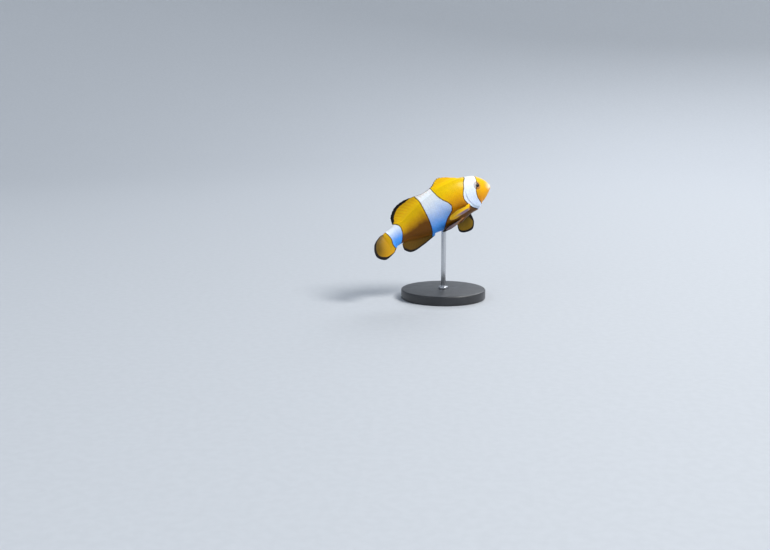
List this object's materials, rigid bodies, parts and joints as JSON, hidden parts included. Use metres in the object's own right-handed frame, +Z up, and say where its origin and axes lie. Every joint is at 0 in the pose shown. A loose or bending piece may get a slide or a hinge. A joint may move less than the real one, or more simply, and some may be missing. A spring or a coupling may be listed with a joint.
{
  "type": "clownfish display model",
  "caption": "Life-size model of a swimming clownfish, tail swept to one side, held by a slim rod on a round base.",
  "frame": {"origin": "centre of the display base's underside, below the rod", "axes": "+Z up, +X towards the fish's head, -Y towards the fish's right side"},
  "size_m": [0.0724, 0.0543, 0.0778],
  "materials": {
    "skin": "wet-looking scaled skin, orange with white bars and black fin margins",
    "eye": "clear glossy eye, black pupil in an orange-brown iris",
    "rod": "fine brushed",
    "base": "satin black paint"
  },
  "bodies": {
    "root": {"head": "skin", "gill_cover_left": "skin", "gill_cover_right": "skin", "eye_left": "eye", "eye_right": "eye", "trunk_front": "skin", "trunk_rear": "skin", "tail_stalk": "skin", "dorsal_fin_spines": "skin", "dorsal_fin_rays": "skin", "anal_fin": "skin", "tail_fin": "skin", "pectoral_fin_right": "skin", "pectoral_fin_left": "skin", "pelvic_fin_right": "skin", "pelvic_fin_left": "skin", "stand_rod": "rod", "stand_base": "base"}
  },
  "joints": []
}
